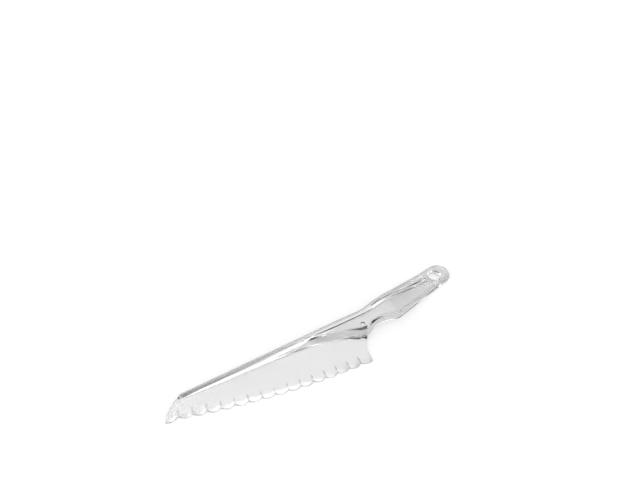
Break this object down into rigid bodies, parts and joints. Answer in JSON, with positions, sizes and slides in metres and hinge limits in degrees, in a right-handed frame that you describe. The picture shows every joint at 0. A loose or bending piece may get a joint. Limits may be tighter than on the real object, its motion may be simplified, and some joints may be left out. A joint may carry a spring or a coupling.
{
  "type": "cake knife",
  "caption": "Clear moulded cake knife with a scalloped, bevelled edge, a raised tapering spine and a hollow-backed handle with a hanging hole.",
  "frame": {"origin": "middle of the knife's box, on the flat back that it rests on", "axes": "+X from the tip to the handle end, along the straight spine; +Y from the scalloped edge to the spine; +Z out of the raised face, away from the flat back"},
  "size_m": [0.2687, 0.0599, 0.0078],
  "materials": {
    "clear_plastic": "clear, polished as it leaves the mould"
  },
  "bodies": {
    "root": {"cake_knife": "clear_plastic"}
  },
  "joints": []
}
